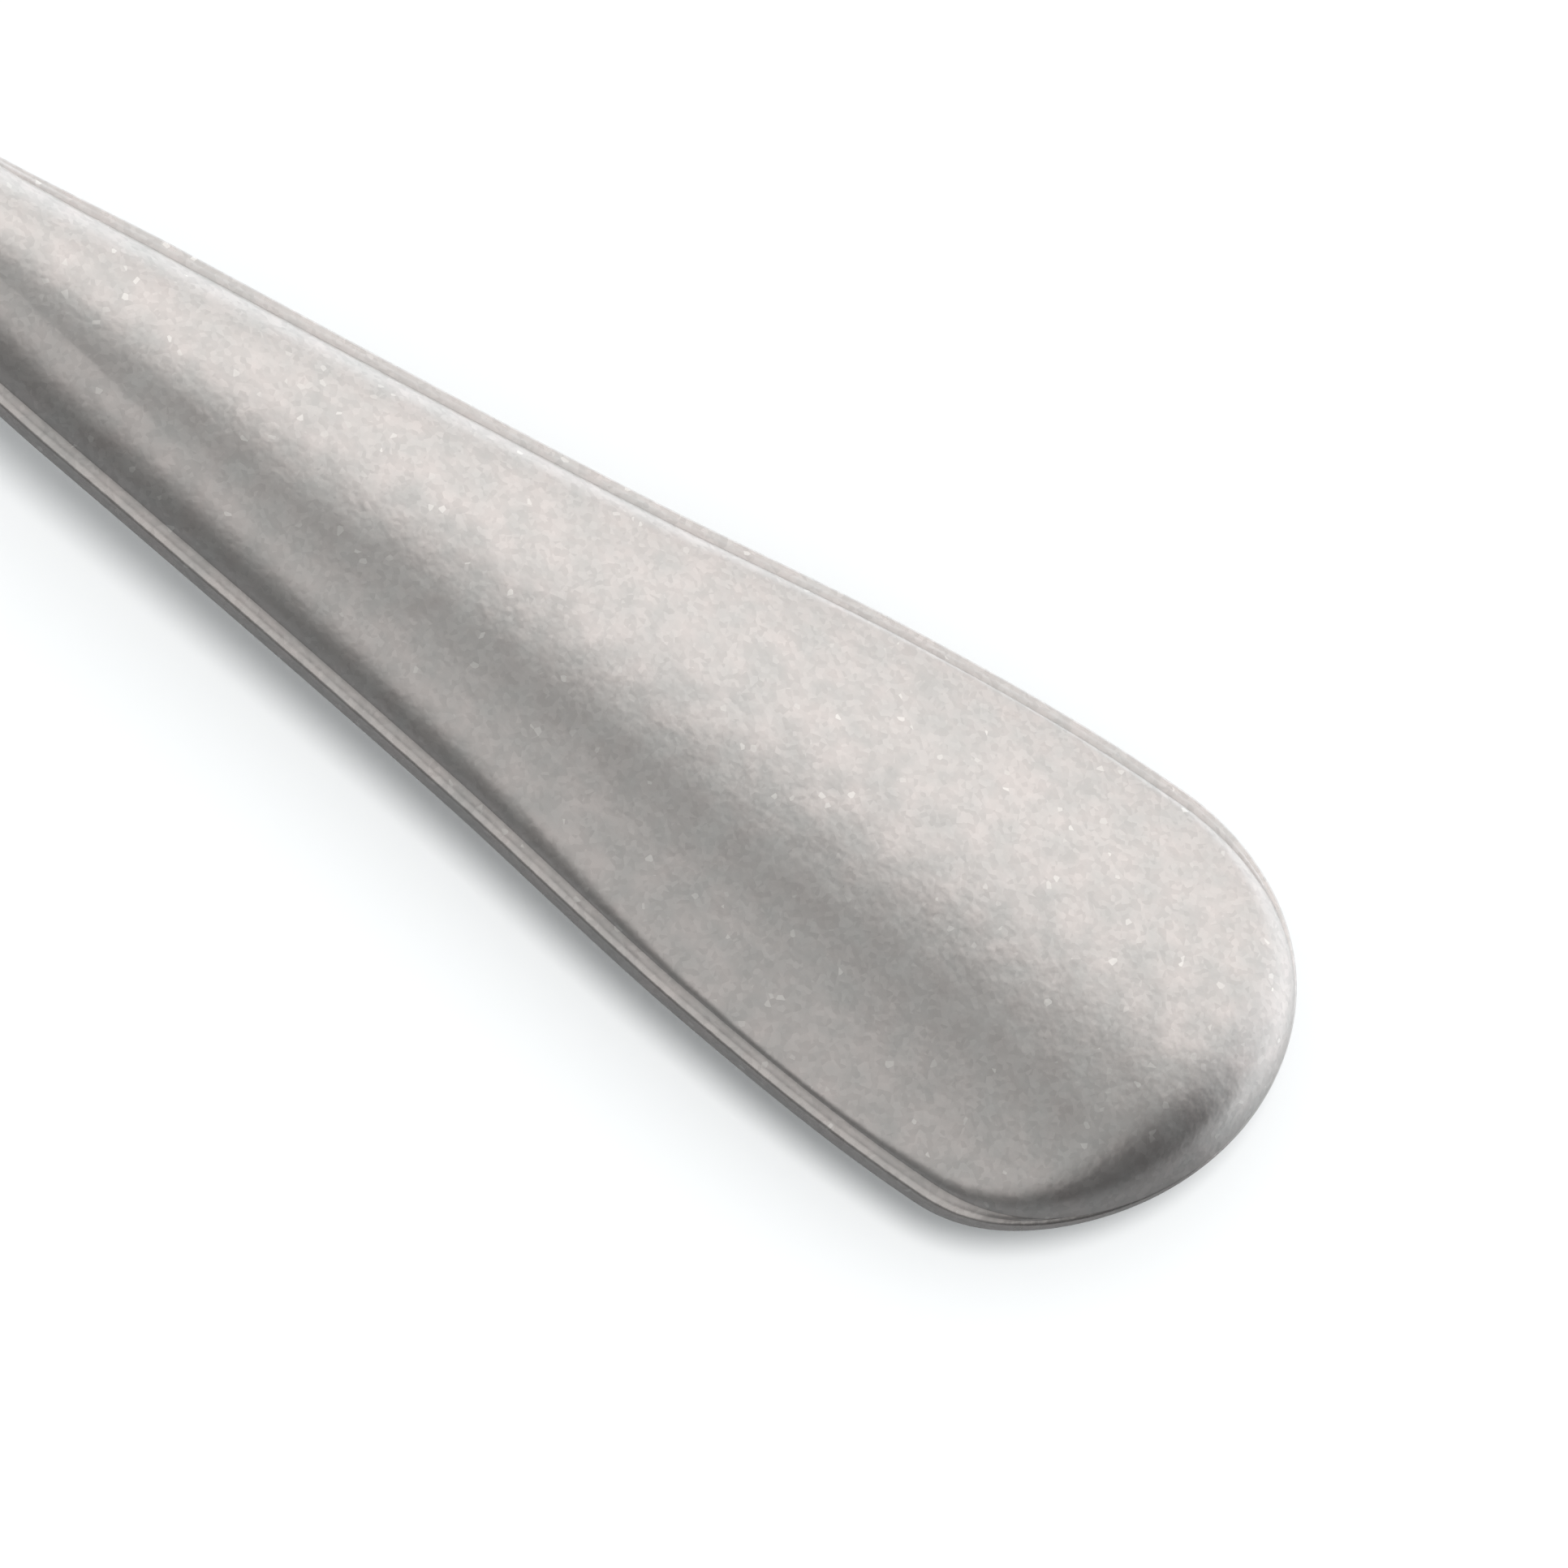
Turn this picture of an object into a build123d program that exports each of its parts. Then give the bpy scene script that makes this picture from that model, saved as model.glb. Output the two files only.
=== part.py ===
"""Double-ended steel blending spatula: a crowned paddle at one end, a stump-shaped cone at the other.

Both working ends are forged rods. Each shank sits in a turned ferrule and is locked by a cross pin.
The ferrules are pressed into the ends of a hollow octagonal handle, which carries two sets of grip rings.

Frame: millimetres, +X towards the paddle, +Z up with the paddle's crown on top. The tool lies on the
handle's lowest flat, which is in the plane z = 0. The origin is below the middle of the tool.
"""

from build123d import *
from math import cos, radians, sin, tan
import os

# Overall
total_length = 156.0
half_length = total_length / 2

# Octagonal handle
flat_to_flat = 7.5
axis_height = flat_to_flat / 2
handle_length = 60.0
handle_end = handle_length / 2
handle_bore_r = 2.2

# Grip zones, turned round into the octagon, and the rings in them
grip_centre = 20.5
grip_length = 13.0
grip_r = 3.45
shoulder = 0.6
ring_count = 5
ring_pitch = 2.4
ring_wire_r = 0.45
ring_outer_r = 3.7
ring_seat_r = ring_outer_r - ring_wire_r

# Ferrules
ferrule_length = 11.0
ferrule_r = 3.6
ferrule_nose_r = 2.1
ferrule_band = 1.4
groove_width = 0.5
groove_depth = 0.3
barrel_end = 3.2  # where the ferrule's barrel starts to taper, from the handle's end
spigot_length = 9.0
nose_round = 0.2
nose_x = handle_end + ferrule_length

# Shanks and the pins that lock them
shank_r = 1.5
shank_depth = 17.0  # reach of a shank back from its ferrule's nose
shank_chamfer = 0.3
pin_r = 0.5
pin_x = handle_end + 2.6

# Paddle, in its own plane: it leans down towards its end
lean = radians(2.9)
paddle_length = 33.0
paddle_half_width = 4.5
end_round = 4.6  # length of the half-elliptical end
neck_half_width = 1.45  # just inside the rod, so that the flange grows out of it
flange_half = 0.25  # half the thickness of the flange that runs round the crown
flange_round = 0.1
land = 0.26  # width of the flange outside the crown, along the flanks
end_land = 0.16  # and round the end
crown_top = 1.4  # height of the crown's ridge above the middle of the flange
crown_r_neck = 2.7  # the crown's radius grows evenly from the neck to the end
crown_r_end = 11.6
crown_draft = radians(28)  # lean of the crown's walls
crown_round = 0.42
cut_margin = 0.2
hollow_depth = 0.45
hollow_r = 12.0
hollow_near = 3.0  # the hollow below starts and ends at these distances back from the paddle's end
hollow_far = 19.0
spine_back = 20.0  # where the neck has run out under the paddle
spine_half_width = 0.9
spine_half_height = 0.28

# Cone
cone_r = 2.6
cone_length = 17.0
cone_swell = 5.0
cone_slope = 0.06  # slope at which the cone starts to taper; its side is slightly full
cone_point_r = 0.5

tool_axis = Axis((0, 0, axis_height), (1, 0, 0))
neck_x = half_length - paddle_length * cos(lean) - flange_half * sin(lean)
paddle_plane = Plane(
    origin=(neck_x, 0, axis_height),
    x_dir=(cos(lean), 0, -sin(lean)),
    z_dir=(sin(lean), 0, cos(lean)),
)
paddle_side = Plane(paddle_plane.origin, x_dir=paddle_plane.x_dir, z_dir=(0, -1, 0))
os.makedirs("parts", exist_ok=True)


def across(x):
    """The plane square to the tool at x, facing the paddle's end."""
    return Plane(origin=(x, 0, axis_height), x_dir=(0, 1, 0), z_dir=(1, 0, 0))


def across_paddle(x):
    """The plane square to the paddle, x along it from the neck."""
    return Plane(paddle_plane.from_local_coords((x, 0, 0)), x_dir=(0, 1, 0), z_dir=paddle_plane.x_dir)


def lengthwise(side):
    """The plane of a turned profile: local X runs from the middle of the tool out to one end."""
    return Plane(origin=(0, 0, axis_height), x_dir=(side, 0, 0), z_dir=(0, -side, 0))


def pin_plane(side):
    """The plane through the tool's axis in which a cross pin's section is drawn."""
    return Plane(origin=(side * pin_x, 0, axis_height), x_dir=(1, 0, 0), z_dir=(0, -1, 0))


def save(part, name):
    """Names a finished piece and writes it as a STEP file."""
    part.label = name
    export_step(part, f"parts/{name}.step")


# ---------------------------------------------------------------- paddle end
def paddle_outline(inset, end_inset, height):
    """The paddle seen square on: flanks that widen to a half-elliptical end, drawn in by two insets."""
    end_x = paddle_length - end_round
    flank = [
        (end_x, paddle_half_width),
        (paddle_length - 9.5, 4.15),
        (paddle_length - 15.0, 3.32),
        (paddle_length - 21.5, 2.51),
        (paddle_length - 27.5, 1.86),
        (0, neck_half_width),
    ]
    with BuildSketch(paddle_plane.offset(height)) as outline:
        with BuildLine():
            Spline([(x, y - inset) for x, y in flank], tangents=[(-1, 0), (-1, 0)])
            Line((0, neck_half_width - inset), (0, inset - neck_half_width))
            Spline([(x, inset - y) for x, y in reversed(flank)], tangents=[(1, 0), (1, 0)])
            EllipticalCenterArc(
                (end_x, 0), end_round - end_inset, paddle_half_width - inset, -90, arc_size=180
            )
        make_face()
    return outline.sketch


# Crown: walls that lean in as they rise, under a round top
crown_rise = crown_top - flange_half + cut_margin
crown_lean = crown_rise * tan(crown_draft)
with BuildPart() as crown_cone:
    for x, radius in ((0, crown_r_neck), (paddle_length, crown_r_end)):
        with BuildSketch(across_paddle(x)):
            with Locations((0, crown_top - radius)):
                Circle(radius)
    loft(ruled=True)

with BuildPart() as crown:
    add(paddle_outline(land, end_land, flange_half))
    add(paddle_outline(land + crown_lean, end_land + crown_lean, flange_half + crown_rise))
    loft(ruled=True)
    add(crown_cone, mode=Mode.INTERSECT)
    top = crown.faces().sort_by(Axis(paddle_plane.origin, paddle_plane.z_dir))[-1]
    rim = top.edges().filter_by(lambda edge: edge.center().X > neck_x + crown_round)
    fillet(rim, crown_round)

with BuildPart() as flange:
    add(paddle_outline(0, 0, -flange_half))
    extrude(amount=2 * flange_half)
    rims = flange.edges().filter_by(lambda edge: edge.length > 3 * neck_half_width)
    fillet(rims, flange_round)

# Neck: a round rod that runs out along the paddle's underside
with BuildPart() as neck:
    with BuildSketch(across(nose_x - shank_depth)):
        Circle(shank_r)
    extrude(amount=neck_x - nose_x + shank_depth)
    chamfer(neck.edges().sort_by(Axis.X)[0], shank_chamfer)
    with BuildSketch(across(neck_x)):
        Circle(shank_r)
    with BuildSketch(across_paddle(paddle_length - spine_back)):
        Ellipse(spine_half_width, spine_half_height)
    loft()

# Shallow hollow in the underside: a spindle-shaped cut that fades out at both ends
with BuildPart() as hollow:
    with BuildSketch(paddle_side):
        with BuildLine():
            ThreePointArc(
                (paddle_length - hollow_far, -flange_half),
                (paddle_length - (hollow_near + hollow_far) / 2, hollow_depth - flange_half),
                (paddle_length - hollow_near, -flange_half),
            )
            Polyline(
                (paddle_length - hollow_near, -flange_half),
                (paddle_length - hollow_near, -hollow_r),
                (paddle_length - hollow_far, -hollow_r),
                (paddle_length - hollow_far, -flange_half),
            )
        make_face()
    revolve(axis=Axis(paddle_plane.from_local_coords((0, 0, -hollow_r)), paddle_plane.x_dir))

with BuildPart() as spatula_tip:
    add(crown)
    add(flange)
    add(neck)
    add(hollow, mode=Mode.SUBTRACT)
    with BuildSketch(pin_plane(1)):
        Circle(pin_r)
    extrude(amount=ferrule_r, both=True, mode=Mode.SUBTRACT)
save(spatula_tip.part, "spatula_tip")

# ---------------------------------------------------------------- cone end
cone_start = half_length - cone_length
with BuildPart() as cone_tip:
    with BuildSketch(lengthwise(-1)):
        with BuildLine():
            shaft = Polyline(
                (half_length, 0),
                (nose_x - shank_depth, 0),
                (nose_x - shank_depth, shank_r - shank_chamfer),
                (nose_x - shank_depth + shank_chamfer, shank_r),
                (cone_start - cone_swell, shank_r),
            )
            Spline(shaft @ 1, (cone_start, cone_r), tangents=[(1, 0), (1, 0)])
            point_x = half_length - cone_point_r
            TangentArc((cone_start, cone_r), (point_x, cone_point_r), tangent=(1, -cone_slope))
            ThreePointArc(
                (point_x, cone_point_r),
                (point_x + cone_point_r * sin(radians(45)), cone_point_r * cos(radians(45))),
                (half_length, 0),
            )
        make_face()
    revolve(axis=tool_axis)
    with BuildSketch(pin_plane(-1)):
        Circle(pin_r)
    extrude(amount=ferrule_r, both=True, mode=Mode.SUBTRACT)
save(cone_tip.part, "cone_tip")

# ---------------------------------------------------------------- handle
with BuildPart() as handle:
    with BuildSketch(across(-handle_end)):
        RegularPolygon(flat_to_flat / 2, 8, major_radius=False, rotation=22.5)
    extrude(amount=handle_length)
    corner_r = flat_to_flat / 2 / cos(radians(22.5))
    # Corners turned down at both ends, to meet the ferrules
    with BuildSketch(lengthwise(1)):
        with BuildLine():
            Polyline(
                (-handle_end, 0),
                (-handle_end, ferrule_r),
                (-handle_end + 2 * (corner_r - ferrule_r), corner_r),
                (handle_end - 2 * (corner_r - ferrule_r), corner_r),
                (handle_end, ferrule_r),
                (handle_end, 0),
                close=True,
            )
        make_face()
    revolve(axis=tool_axis, mode=Mode.INTERSECT)
    # Grip zones with sloping shoulders and a seat for each ring
    with BuildSketch(lengthwise(1)):
        for centre in (-grip_centre, grip_centre):
            with BuildLine():
                Polyline(
                    (centre - grip_length / 2 - shoulder, corner_r),
                    (centre - grip_length / 2, grip_r),
                    (centre + grip_length / 2, grip_r),
                    (centre + grip_length / 2 + shoulder, corner_r),
                    close=True,
                )
            make_face()
            with Locations((centre, ring_seat_r)):
                with GridLocations(ring_pitch, 0, ring_count, 1):
                    Circle(ring_wire_r)
    revolve(axis=tool_axis, mode=Mode.SUBTRACT)
    with BuildSketch(across(-handle_end)):
        Circle(handle_bore_r)
    extrude(amount=handle_length, mode=Mode.SUBTRACT)
save(handle.part, "handle")

# ---------------------------------------------------------------- grip rings
for end, side in (("front", 1), ("rear", -1)):
    for number in range(ring_count):
        ring_x = grip_centre + (number - (ring_count - 1) / 2) * ring_pitch
        with BuildPart() as grip_ring:
            with BuildSketch(lengthwise(side)):
                with Locations((ring_x, ring_seat_r)):
                    Circle(ring_wire_r)
            revolve(axis=tool_axis)
        save(grip_ring.part, f"{end}_grip_ring_{number + 1}")

# ---------------------------------------------------------------- ferrules and cross pins
for end, side in (("front", 1), ("rear", -1)):
    with BuildPart() as ferrule:
        with BuildSketch(lengthwise(side)):
            with BuildLine():
                groove_x = handle_end + ferrule_band
                body = Polyline(
                    (nose_x, shank_r),
                    (handle_end - spigot_length, shank_r),
                    (handle_end - spigot_length, handle_bore_r),
                    (handle_end, handle_bore_r),
                    (handle_end, ferrule_r),
                    (groove_x, ferrule_r),
                    (groove_x, ferrule_r - groove_depth),
                    (groove_x + groove_width, ferrule_r - groove_depth),
                    (groove_x + groove_width, ferrule_r),
                    (handle_end + barrel_end, ferrule_r),
                )
                taper = TangentArc(body @ 1, (nose_x, ferrule_nose_r), tangent=(1, 0))
                Line(taper @ 1, body @ 0)
            make_face()
        revolve(axis=tool_axis)
        nose = ferrule.edges().filter_by(lambda edge: abs(edge.center().X - side * nose_x) < nose_round)
        fillet(nose.sort_by(SortBy.LENGTH)[-1], nose_round)
        with BuildSketch(pin_plane(side)):
            Circle(pin_r)
        extrude(amount=2 * ferrule_r, both=True, mode=Mode.SUBTRACT)
    save(ferrule.part, f"{end}_ferrule")

    with BuildPart() as cross_pin:
        with BuildSketch(pin_plane(side)):
            Circle(pin_r)
        extrude(amount=2 * ferrule_r, both=True)
        # Ends ground flush with the ferrule's barrel
        with BuildSketch(across(side * pin_x)):
            Circle(ferrule_r)
        extrude(amount=2 * pin_r, both=True, mode=Mode.INTERSECT)
    save(cross_pin.part, f"{end}_cross_pin")
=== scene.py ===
"""Double-ended steel blending spatula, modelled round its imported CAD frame.

The tool lies along X on the lowest flat of its handle, with the paddle towards +X and the cone towards -X.
Lengths are metres, in the frame's own axes. Each operator models one piece, or one group of like pieces,
gives it its material and puts it in the place of its CAD node.
"""

from math import asin, atan, atan2, cos, degrees, hypot, pi, radians, sin, sqrt, tan

import bmesh
import bpy
from mathutils import Matrix, Vector


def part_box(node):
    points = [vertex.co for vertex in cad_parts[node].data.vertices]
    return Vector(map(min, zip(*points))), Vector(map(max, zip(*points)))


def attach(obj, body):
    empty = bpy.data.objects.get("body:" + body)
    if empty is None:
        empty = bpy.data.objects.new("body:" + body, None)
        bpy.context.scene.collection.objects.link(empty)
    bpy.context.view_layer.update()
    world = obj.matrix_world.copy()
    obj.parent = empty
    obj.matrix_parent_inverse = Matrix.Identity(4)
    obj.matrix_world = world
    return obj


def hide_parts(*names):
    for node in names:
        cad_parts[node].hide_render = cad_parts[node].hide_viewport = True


bl_info = {
    "name": "Blending spatula",
    "version": (1, 0, 0),
    "blender": (4, 5, 0),
    "location": "3D View > Sidebar > Spatula",
    "description": "Models a double-ended steel blending spatula and its studio",
    "category": "Add Mesh",
}

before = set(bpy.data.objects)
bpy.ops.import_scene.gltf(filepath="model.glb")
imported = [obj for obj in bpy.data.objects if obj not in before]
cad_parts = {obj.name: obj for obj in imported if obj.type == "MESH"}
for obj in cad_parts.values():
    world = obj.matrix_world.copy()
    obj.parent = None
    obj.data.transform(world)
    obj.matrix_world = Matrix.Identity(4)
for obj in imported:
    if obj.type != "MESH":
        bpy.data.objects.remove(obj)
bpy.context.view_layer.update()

# ---------------- places and sizes read from the frame
MM = 0.001
BODY = "root"
ENDS = {"front": 1, "rear": -1}
HANDLE_LOW, HANDLE_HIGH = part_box("handle")
FERRULE_LOW, FERRULE_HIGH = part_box("front_ferrule")
TIP_LOW, TIP_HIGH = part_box("spatula_tip")
CONE_LOW, CONE_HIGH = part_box("cone_tip")
PIN_LOW, PIN_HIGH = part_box("front_cross_pin")
RINGS = sorted(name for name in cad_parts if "grip_ring" in name)
RING_LOW, RING_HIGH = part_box("front_grip_ring_1")
AXIS_Z = (HANDLE_LOW.z + HANDLE_HIGH.z) / 2
HALF_LENGTH = -CONE_LOW.x
INSIDE_NOSE_X = FERRULE_HIGH.x - 0.5 * MM  # inside the ferrule's nose, where a cut stays hidden
SHANK_X = TIP_LOW.x
PIN_X = (PIN_LOW.x + PIN_HIGH.x) / 2
PIN_R = (PIN_HIGH.x - PIN_LOW.x) / 2
PIN_SIDES = 48
RING_WIRE_R = (RING_HIGH.x - RING_LOW.x) / 2
RING_SEAT_R = RING_HIGH.y - RING_WIRE_R
OCTAGON_STEP = pi / 4
MERGE_DISTANCE = 0.0005 * MM
CORNER_TOLERANCE = 0.0001 * MM
SLACK = 0.01 * MM  # by which a test on a vertex's place may be out

# Half the paddle's width at distances from its neck, with the flank a smooth curve through them
FLANK = [(x * MM, y * MM) for x, y in ((0, 1.45), (5.5, 1.86), (11.5, 2.51), (18, 3.32), (23.5, 4.15))]
FLANK.append((28.4 * MM, TIP_HIGH.y))


# ---------------- settings
def size(name, description, default):
    """A length that the user may change."""
    return bpy.props.FloatProperty(
        name=name,
        description=description,
        default=default,
        min=0,
        precision=5,
        subtype="DISTANCE",
        unit="LENGTH",
    )


def angle(name, description, default):
    """An angle that the user may change, given in degrees."""
    return bpy.props.FloatProperty(
        name=name, description=description, default=radians(default), subtype="ANGLE", unit="ROTATION"
    )


def linear(hex_colour):
    """An sRGB hex colour as linear red, green, blue and alpha."""
    parts = [int(hex_colour[i : i + 2], 16) / 255 for i in (1, 3, 5)]
    return [part / 12.92 if part <= 0.04045 else ((part + 0.055) / 1.055) ** 2.4 for part in parts] + [1.0]


def colour(name, description, hex_colour):
    """A colour that the user may change."""
    return bpy.props.FloatVectorProperty(
        name=name, description=description, default=linear(hex_colour), size=4, min=0, max=1, subtype="COLOR"
    )


class TipSettings(bpy.types.PropertyGroup):
    """The paddle end."""

    paddle_length: size("Paddle length", "From the neck to the end", 33 * MM)
    end_round: size("End round", "Length of the half-elliptical end", 4.25 * MM)
    end_skew: angle("End skew", "Slant of the end, which falls back on the near side", 6.8)
    lean: angle("Lean", "How far the paddle leans down towards its end", 2.9)
    bend: size("Bend", "Length over which the shank bends into that lean", 4 * MM)
    flange: size("Flange", "Thickness of the flange that runs round the crown", 0.62 * MM)
    end_flange: size("End flange", "Thickness to which the flange thins at the end", 0.36 * MM)
    flange_round: size("Flange round", "Radius of the flange's edges", 0.12 * MM)
    land_fall: size("Land fall", "How far the flange's top falls from the crown to its edge", 0.09 * MM)
    land: size("Land", "Width of the flange outside the crown, along the flanks", 0.3 * MM)
    end_land: size("End land", "Width of the flange outside the crown, at the end", 0.04 * MM)
    crown_top: size("Crown height", "Height of the ridge above the middle of the flange", 1.26 * MM)
    crown_neck_r: size("Crown radius at neck", "Radius of the crown across the neck", 1.7 * MM)
    crown_end_r: size("Crown radius at end", "Radius of the crown across the end", 12.6 * MM)
    wall_lean: angle("Wall lean", "How far the crown's walls lean in", 28)
    hollow: size("Hollow", "Depth of the hollow in the underside", 0.45 * MM)
    neck_run: size("Neck run", "Length over which the round shank turns into the flanged section", 9 * MM)
    shank_r: size("Shank radius", "Radius of the round shank", 1.5 * MM)
    shank_chamfer: size("Shank chamfer", "Chamfer of the shank's hidden end", 0.3 * MM)
    steel: colour("Steel", "Bead-blasted stainless steel", "#DCD8D7")


class ConeSettings(bpy.types.PropertyGroup):
    """The stump-shaped cone end."""

    cone_length: size("Cone length", "From the widest place to the point", 17 * MM)
    swell: size("Swell", "Length over which the shank swells to the cone", 5 * MM)
    cone_r: size("Cone radius", "Radius at the widest place", CONE_HIGH.y)
    point_r: size("Point radius", "Radius of the rounded point", 0.5 * MM)
    side_slope: bpy.props.FloatProperty(
        name="Side slope", description="Slope at which the full side starts to taper", default=0.06, min=0
    )


class HandleSettings(bpy.types.PropertyGroup):
    """The octagonal handle."""

    corner_round: size("Corner round", "Radius of the octagon's corners", 0.32 * MM)
    bore_r: size("Bore radius", "Radius of the bore that takes the ferrules", 2.2 * MM)
    end_r: size("End radius", "Radius to which the ends are turned down", FERRULE_HIGH.y)
    end_slope: bpy.props.FloatProperty(
        name="End slope", description="Rise of the turned-down ends for their length", default=0.5, min=0.1
    )
    grip_centre: size("Grip centre", "From the middle of the tool to the middle of each grip zone", 20.5 * MM)
    grip_length: size("Grip length", "Length of each grip zone", 13 * MM)
    grip_r: size("Grip radius", "Radius of the grip zones between the rings", 3.45 * MM)
    shoulder: size("Shoulder", "Length of the slope up from a grip zone", 0.6 * MM)
    steel: colour("Steel", "Stainless steel bar, brushed lengthwise", "#C6C3C0")
    rubber: colour("Rubber", "Moulded nitrile rubber of the grip rings", "#2B2C2E")


class FerruleSettings(bpy.types.PropertyGroup):
    """The turned ferrules and their cross pins."""

    band: size("Band", "Width of the plain band next to the handle", 1.4 * MM)
    groove: size("Groove", "Width of the groove", 0.5 * MM)
    groove_depth: size("Groove depth", "Depth of the groove", 0.3 * MM)
    barrel: size("Barrel", "Length of the barrel before the taper", 3.2 * MM)
    nose_r: size("Nose radius", "Radius of the nose", 2.1 * MM)
    nose_round: size("Nose round", "Rounding of the nose's edge", 0.2 * MM)
    edge: size("Edge", "Break of the turned edges", 0.06 * MM)
    pin_gap: size("Pin gap", "Gap round the cross pin", 0.03 * MM)
    steel: colour("Steel", "Turned stainless steel", "#CFCAC4")
    pin_steel: colour("Pin steel", "Hardened and ground pin steel", "#A9A8A8")


class StageSettings(bpy.types.PropertyGroup):
    """The floor and the camera."""

    view_width: size("View width", "Width of the view at the paddle", 27.4 * MM)
    view_tilt: angle("View tilt", "How far the view leans from straight down", 20)
    view_roll: angle("View roll", "Fall of the tool across the view", 33.4)
    end_right: size("End right", "How far right of the view's middle the paddle ends", 8.16 * MM)
    end_below: size("End below", "How far below the view's middle the paddle ends", 6.07 * MM)
    floor: colour("Floor", "Matt white paper", "#F3F3F3")


# ---------------- modelling tools
def deselect():
    """Leaves every object unselected, in object mode."""
    if bpy.context.object and bpy.context.object.mode != "OBJECT":
        bpy.ops.object.mode_set(mode="OBJECT")
    bpy.ops.object.select_all(action="DESELECT")


def select(piece):
    """Selects one piece and makes it the active one."""
    deselect()
    bpy.context.view_layer.objects.active = piece
    piece.select_set(True)


def edit(piece):
    """Opens a piece in edit mode, with all of it selected."""
    select(piece)
    bpy.ops.object.mode_set(mode="EDIT")
    bpy.ops.mesh.select_all(action="SELECT")


def pick(piece, kind, test):
    """Selects the vertices, edges or faces of a piece in edit mode that pass a test, and nothing else."""
    bpy.ops.mesh.select_mode(type={"verts": "VERT", "edges": "EDGE", "faces": "FACE"}[kind])
    bpy.ops.mesh.select_all(action="DESELECT")
    mesh = bmesh.from_edit_mesh(piece.data)
    for item in getattr(mesh, kind):
        if test(item):
            item.select_set(True)
    mesh.select_flush_mode()
    bmesh.update_edit_mesh(piece.data)


def draw_line(name, places):
    """Starts a piece as a line of edges: one point, extruded from place to place."""
    deselect()
    bpy.ops.mesh.primitive_plane_add(size=MM)
    piece = bpy.context.object
    piece.name = name
    edit(piece)
    bpy.ops.mesh.merge(type="CENTER")
    bpy.ops.mesh.select_all(action="SELECT")
    bpy.ops.transform.translate(value=places[0])
    for here, there in zip(places, places[1:]):
        bpy.ops.mesh.extrude_vertices_move(TRANSFORM_OT_translate={"value": there - here})
    return piece


def close_up(piece):
    """Merges doubled vertices and turns every face outwards."""
    edit(piece)
    bpy.ops.mesh.remove_doubles(threshold=MERGE_DISTANCE)
    bpy.ops.mesh.select_all(action="SELECT")
    bpy.ops.mesh.normals_make_consistent(inside=False)
    bpy.ops.object.mode_set(mode="OBJECT")


def turn(name, outline, side, steps, closed=False):
    """Turns an outline of (distance from the tool's middle, radius) round the tool's axis, like a lathe."""
    places = [Vector((side * x, 0, AXIS_Z + r)) for x, r in outline]
    piece = draw_line(name, places + places[:1] if closed else places)
    bpy.ops.mesh.select_all(action="SELECT")
    bpy.ops.mesh.spin(steps=steps, angle=2 * pi, center=(0, 0, AXIS_Z), axis=(1, 0, 0))
    close_up(piece)
    return piece


def apply_modifier(piece, kind, **settings):
    """Adds a modifier with its settings and applies it."""
    select(piece)
    bpy.ops.object.modifier_add(type=kind)
    modifier = piece.modifiers[-1]
    for name, value in settings.items():
        setattr(modifier, name, value)
    bpy.ops.object.modifier_apply(modifier=modifier.name)


def break_edges(piece, width):
    """Rounds every edge sharper than 30 degrees."""
    apply_modifier(piece, "BEVEL", width=width, segments=2, limit_method="ANGLE", angle_limit=radians(30))


def shade(piece, limit):
    """Smooth shading, with edges sharper than the limit in degrees kept crisp."""
    select(piece)
    bpy.ops.object.shade_smooth_by_angle(angle=radians(limit))


def stand_in(piece, node, material):
    """Gives a finished piece its material and puts it in the place of a CAD node."""
    piece.data.materials.clear()
    piece.data.materials.append(material)
    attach(piece, BODY)
    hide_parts(node)


def paint(piece, name, values):
    """Stores one number for each vertex, for a material to read."""
    layer = piece.data.attributes.get(name) or piece.data.attributes.new(name, "FLOAT", "POINT")
    layer.data.foreach_set("value", values)


# ---------------- curves and blends
def ease(share):
    """0 to 1 with a level start and end."""
    share = min(max(share, 0.0), 1.0)
    return share * share * (3 - 2 * share)


def mix(a, b, share):
    """The value that lies this share of the way from a to b."""
    return a + (b - a) * share


def steps_between(start, end, count):
    """Values from start up to, and not including, end."""
    return [mix(start, end, i / count) for i in range(count)]


def soft_min(a, b, blend):
    """The smaller of two heights, with the corner between them rounded over a blend."""
    share = min(max(0.5 + 0.5 * (b - a) / blend, 0.0), 1.0)
    return mix(b, a, share) - blend * share * (1 - share)


def arc(centre, radius, start, end, steps):
    """Places along an arc, from one angle in degrees to another."""
    angles = [radians(mix(start, end, i / steps)) for i in range(steps + 1)]
    return [(centre[0] + radius * cos(a), centre[1] + radius * sin(a)) for a in angles]


def tangent_arc(start, slope, end, steps):
    """Places along the arc that leaves start at a slope and runs through end."""
    level = hypot(1, slope)
    normal = (slope / level, -1 / level)
    chord = (end[0] - start[0], end[1] - start[1])
    radius = hypot(*chord) ** 2 / (2 * (chord[0] * normal[0] + chord[1] * normal[1]))
    centre = (start[0] + radius * normal[0], start[1] + radius * normal[1])
    first = degrees(atan2(start[1] - centre[1], start[0] - centre[0]))
    last = degrees(atan2(end[1] - centre[1], end[0] - centre[0]))
    return arc(centre, radius, first, last, steps)


# ---------------- materials
def add_node(tree, kind, inputs=None, **settings):
    """Adds a node with its settings. Each input gets a value, an output socket or a node's first output."""
    made = tree.nodes.new("ShaderNode" + kind)
    for name, value in settings.items():
        setattr(made, name, value)
    for name, value in (inputs or {}).items():
        if isinstance(value, bpy.types.Node):
            value = next(output for output in value.outputs if output.enabled)
        if isinstance(value, bpy.types.NodeSocket):
            tree.links.new(value, made.inputs[name])
        else:
            made.inputs[name].default_value = value
    return made


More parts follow.
